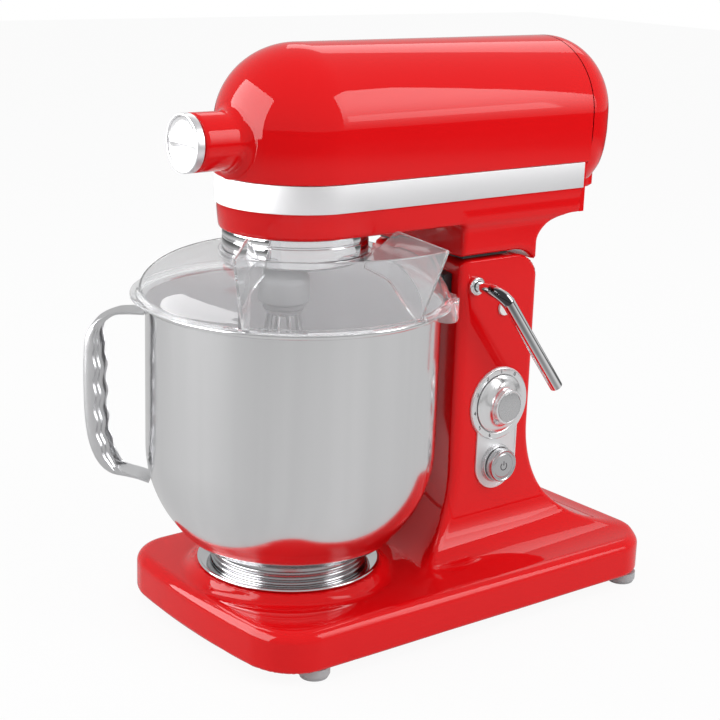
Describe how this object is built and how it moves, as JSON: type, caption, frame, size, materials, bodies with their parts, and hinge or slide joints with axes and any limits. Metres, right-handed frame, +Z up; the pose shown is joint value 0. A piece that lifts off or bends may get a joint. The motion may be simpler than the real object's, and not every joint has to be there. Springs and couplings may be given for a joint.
{
  "type": "stand mixer",
  "caption": "Tilt-head stand mixer with a planetary whisk, a steel bowl with a side handle, a clear splash guard and a pouring chute.",
  "frame": {"origin": "the middle of the part's footprint, on the surface that the feet stand on", "axes": "+Z up, the attachment hub at the front towards -Y, the controls on the side towards +X"},
  "size_m": [0.2632, 0.4326, 0.4503],
  "materials": {
    "red_paint": "high gloss enamel",
    "brushed_band": "brushed along its length",
    "polished_steel": "polished",
    "satin_steel": "satin",
    "gear_steel": "machined",
    "cast_aluminium": "as cast",
    "black_plastic": "fine grain",
    "white_plastic": "moulded",
    "rubber": "matt",
    "clear_plastic": "clear",
    "copper_winding": "lacquered copper",
    "brush_brass": "plain",
    "board_green": "solder mask"
  },
  "bodies": {
    "base": {"base_casting": "red_paint", "bottom_plate": "satin_steel", "feet": "rubber", "foot_screws": "satin_steel", "seat_ring": "polished_steel", "seat_screws": "satin_steel", "control_plate": "brushed_band", "speed_pot": "black_plastic", "button_bezel": "satin_steel", "switch_body": "black_plastic", "control_board": "board_green", "board_parts": "black_plastic", "hinge_pin": "satin_steel", "pin_caps": "white_plastic", "lock_bush": "polished_steel", "guard_sensor": "black_plastic", "cord_gland": "black_plastic", "neck_seal": "rubber"},
    "lever": {"lever_rod": "polished_steel", "lever_cam": "gear_steel"},
    "dial": {"dial_knob": "satin_steel", "dial_cap": "polished_steel", "dial_spindle": "satin_steel"},
    "button": {"button_cap": "polished_steel", "button_stem": "black_plastic"},
    "head": {"head_housing": "red_paint", "rear_plate": "red_paint", "side_band": "brushed_band", "head_shell": "red_paint", "rear_cover": "red_paint", "rear_screws": "satin_steel", "drip_ring": "polished_steel", "drip_screws": "satin_steel", "ring_gear": "gear_steel", "gear_frame": "cast_aluminium", "shaft_bearings": "satin_steel", "motor_case": "black_plastic", "motor_mount": "cast_aluminium", "motor_bearings": "satin_steel", "brush_holders": "brush_brass", "splash_guard": "clear_plastic", "hub_socket": "satin_steel"},
    "motor_rotor": {"motor_shaft": "satin_steel", "armature": "copper_winding", "cooling_fan": "black_plastic", "drive_pinion": "gear_steel"},
    "carrier": {"main_shaft": "satin_steel", "face_gear": "gear_steel", "planet_carrier": "polished_steel"},
    "hub_shaft": {"pto_shaft": "satin_steel"},
    "beater": {"planet_shaft": "satin_steel", "planet_pinion": "gear_steel", "beater_collar": "white_plastic", "whisk_hub": "polished_steel", "whisk_wires": "polished_steel"},
    "hub_cap": {"hub_cap": "polished_steel"},
    "bowl": {"bowl": "polished_steel", "bowl_foot": "polished_steel", "bowl_handle": "polished_steel"},
    "chute": {"chute": "clear_plastic"}
  },
  "joints": [
    {"name": "head_tilt", "type": "hinge", "parent": "base", "child": "head", "pos_m": [-0.00835, 0.08125, 0.2428], "axis": [-1, 0, 0], "range_deg": [0, 45]},
    {"name": "lock_lever", "type": "hinge", "parent": "base", "child": "lever", "pos_m": [-0.00835, 0.04925, 0.2643], "axis": [1, 0, 0], "range_deg": [0, 70]},
    {"name": "speed_dial", "type": "hinge", "parent": "base", "child": "dial", "pos_m": [-0.00835, 0.08075, 0.1633], "axis": [1, 0, 0], "range_deg": [0, 280]},
    {"name": "power_button", "type": "slide", "parent": "base", "child": "button", "axis": [-1, 0, 0], "range_m": [0, 0.0025], "stiffness_N_per_m": 600},
    {"name": "carrier_turn", "type": "hinge", "parent": "head", "child": "carrier", "pos_m": [-0.00835, -0.08475, 0.2878], "axis": [0, 0, 1], "continuous": true},
    {"name": "beater_spin", "type": "hinge", "parent": "carrier", "child": "beater", "pos_m": [0.01396, -0.11041, 0.2878], "axis": [0, 0, 1], "continuous": true},
    {"name": "motor_spin", "type": "hinge", "parent": "head", "child": "motor_rotor", "pos_m": [-0.00835, 0.05325, 0.3824], "axis": [0, 1, 0], "continuous": true},
    {"name": "hub_shaft_spin", "type": "hinge", "parent": "head", "child": "hub_shaft", "pos_m": [-0.00835, -0.14475, 0.3824], "axis": [0, 1, 0], "continuous": true},
    {"name": "hub_cap_pull", "type": "slide", "parent": "head", "child": "hub_cap", "axis": [0, -1, 0], "range_m": [0, 0.025]},
    {"name": "bowl_twist", "type": "hinge", "parent": "base", "child": "bowl", "pos_m": [-0.00835, -0.08475, 0.051], "axis": [0, 0, 1], "range_deg": [0, 60]},
    {"name": "chute_lift", "type": "slide", "parent": "head", "child": "chute", "axis": [0, 0, 1], "range_m": [0, 0.012]}
  ],
  "couplings": [
    {"joint": "beater_spin", "follows": "carrier_turn", "ratio": -3.8333},
    {"joint": "motor_spin", "follows": "carrier_turn", "ratio": 4},
    {"joint": "hub_shaft_spin", "follows": "carrier_turn", "ratio": -4}
  ]
}
